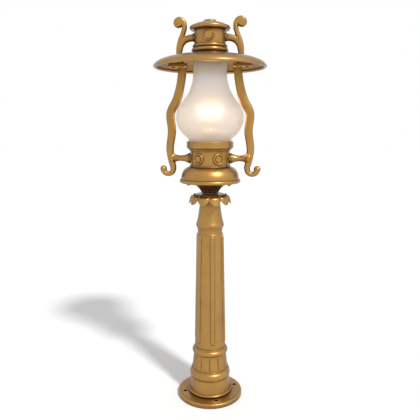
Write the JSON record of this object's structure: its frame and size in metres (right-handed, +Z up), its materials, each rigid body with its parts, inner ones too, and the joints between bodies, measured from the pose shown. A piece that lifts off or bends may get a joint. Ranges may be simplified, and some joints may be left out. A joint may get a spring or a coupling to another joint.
{
  "type": "garden lamp post",
  "caption": "Cast garden lamp post: bolted round foot, reeded tapering column, leaf collar and a pear-glass lantern held by scrolled arms under a shallow round shade.",
  "frame": {"origin": "centre of the base plate's underside, on the ground", "axes": "+Z up the post, X along the two arms, the front is -Y"},
  "size_m": [0.255, 0.255, 0.8994],
  "materials": {
    "gold_paint": "satin gold paint on cast aluminium",
    "ribbed_glass": "clear, finely ribbed",
    "bulb_glass": "frosted",
    "bulb_cap": "bright",
    "steel": "zinc plated",
    "brass": "bare",
    "rubber": "matt",
    "holder_body": "glossy white",
    "brown_sleeve": "matt",
    "blue_sleeve": "matt"
  },
  "bodies": {
    "post": {"base_casting": "gold_paint", "column_shaft": "gold_paint", "column_capital": "gold_paint", "leaf_collar": "gold_paint", "pedestal_cone": "gold_paint", "tie_rod": "steel", "tie_rod_lower_washer": "steel", "tie_rod_lower_nut": "steel", "tie_rod_upper_washer": "steel", "tie_rod_upper_nut": "steel", "cable_bush": "rubber", "font_dish": "gold_paint", "font_bowl": "gold_paint", "font_dish_screws": "steel", "gallery_plate": "gold_paint", "gallery_ring": "gold_paint", "gallery_screws": "steel", "glass_foot_gasket": "rubber", "glass_top_gasket": "rubber", "chimney_glass": "ribbed_glass", "holder_nipple": "steel", "holder_nut": "steel", "lamp_holder": "holder_body", "holder_screw_shell": "brass", "holder_contact": "brass", "terminal_block": "holder_body", "live_lead": "brown_sleeve", "neutral_lead": "blue_sleeve", "earth_screw": "steel", "shade": "gold_paint", "bead_ring": "gold_paint", "top_drum": "gold_paint", "cap_gasket": "rubber", "upper_bracket_left": "gold_paint", "upper_bracket_right": "gold_paint", "lower_arm_left": "gold_paint", "lower_arm_right": "gold_paint", "bracket_drum_screws": "steel", "bracket_foot_screws": "steel", "shade_pad_screws": "steel", "arm_branch_screws": "steel"},
    "cap": {"cap": "gold_paint", "cap_knob": "gold_paint", "cap_knob_nut": "steel"},
    "bulb_tip": {"bulb_tip_contact": "brass"},
    "bulb": {"bulb_envelope": "bulb_glass", "bulb_screw_cap": "bulb_cap"}
  },
  "joints": [
    {"name": "cap_lift", "type": "slide", "parent": "post", "child": "cap", "axis": [0, 0, 1], "range_m": [0, 0.08]},
    {"name": "bulb_rise", "type": "slide", "parent": "post", "child": "bulb_tip", "axis": [0, 0, 1], "range_m": [0, 0.01815]},
    {"name": "bulb_turn", "type": "hinge", "parent": "bulb_tip", "child": "bulb", "pos_m": [0, 0, 0.63], "axis": [0, 0, 1], "range_deg": [0, 1800]}
  ],
  "couplings": [
    {"joint": "bulb_rise", "follows": "bulb_turn", "m_per_rad": 0.00057757}
  ]
}
